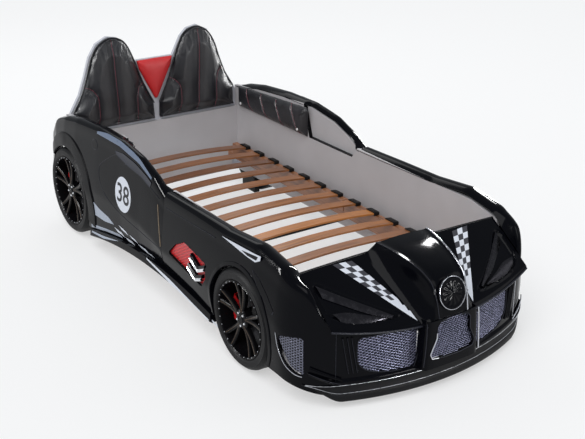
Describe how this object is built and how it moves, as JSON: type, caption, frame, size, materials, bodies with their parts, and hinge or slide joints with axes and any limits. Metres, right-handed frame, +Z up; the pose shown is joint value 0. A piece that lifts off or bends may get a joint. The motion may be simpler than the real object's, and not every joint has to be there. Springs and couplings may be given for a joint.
{
  "type": "car bed",
  "caption": "Child's bed in the form of a black race car: slatted base in two lift-out halves, padded twin seat-back headboard, moulded body shell and fixed wheels.",
  "frame": {"origin": "on the floor, under the middle of the bed's outline", "axes": "+Z up, nose towards -Y, +X to the driver's left"},
  "size_m": [1.1152, 2.33, 0.882],
  "materials": {
    "inner_board": "satin laminate",
    "batten": "raw wood",
    "steel": "satin",
    "gloss_black": "high gloss",
    "textured_black": "fine texture",
    "silver_mesh": "perforated silver",
    "lamp": "gloss, smoked",
    "badge": "gloss",
    "red_mesh": "satin",
    "chrome": "polished",
    "tyre": "matte rubber look",
    "rim": "gloss",
    "disc": "brushed",
    "red_caliper": "gloss",
    "slat_wood": "varnished",
    "rail_wood": "varnished",
    "cap_plastic": "matte",
    "silver_board": "satin silver",
    "black_leather": "leatherette",
    "red_leather": "leatherette",
    "screw": "polished"
  },
  "bodies": {
    "bed": {"bolster_screws": "screw", "bonnet": "gloss_black", "brake_calipers": "red_caliper", "brake_discs": "disc", "center_pad": "red_leather", "corner_brackets": "steel", "corner_grille_left": "silver_mesh", "corner_grille_right": "silver_mesh", "floor_feet": "batten", "foot_board": "inner_board", "front_bumper": "gloss_black", "front_shell_left": "gloss_black", "front_shell_right": "gloss_black", "grille_center": "silver_mesh", "grille_side_left": "silver_mesh", "grille_side_right": "silver_mesh", "headboard_board": "inner_board", "headlight_left": "lamp", "headlight_right": "lamp", "headrest_backboard": "silver_board", "headrest_left": "black_leather", "headrest_right": "black_leather", "ledge_left": "batten", "ledge_right": "batten", "nose_badge": "badge", "rear_shell_left": "gloss_black", "rear_shell_right": "gloss_black", "rims": "rim", "side_board_left": "inner_board", "side_board_right": "inner_board", "side_bolster_left": "black_leather", "side_bolster_right": "black_leather", "side_vent_left": "red_mesh", "side_vent_right": "red_mesh", "skirt_left": "gloss_black", "skirt_right": "gloss_black", "splitter": "textured_black", "tyres": "tyre", "vent_fins_left": "chrome", "vent_fins_right": "chrome", "wheel_bolts": "chrome", "window_panel_left": "inner_board", "window_panel_right": "inner_board", "window_trim_left": "textured_black", "window_trim_right": "textured_black"},
    "slat_base_rear": {"slat_rail_rear_left": "rail_wood", "slat_rail_rear_right": "rail_wood", "slats_rear": "slat_wood", "slat_caps_rear": "cap_plastic"},
    "slat_base_front": {"slat_rail_front_left": "rail_wood", "slat_rail_front_right": "rail_wood", "slats_front": "slat_wood", "slat_caps_front": "cap_plastic", "cross_tube": "steel"}
  },
  "joints": [
    {"name": "lift_rear_slats", "type": "slide", "parent": "bed", "child": "slat_base_rear", "axis": [0, 0, 1], "range_m": [0, 0.45]},
    {"name": "lift_front_slats", "type": "slide", "parent": "bed", "child": "slat_base_front", "axis": [0, 0, 1], "range_m": [0, 0.45]}
  ]
}
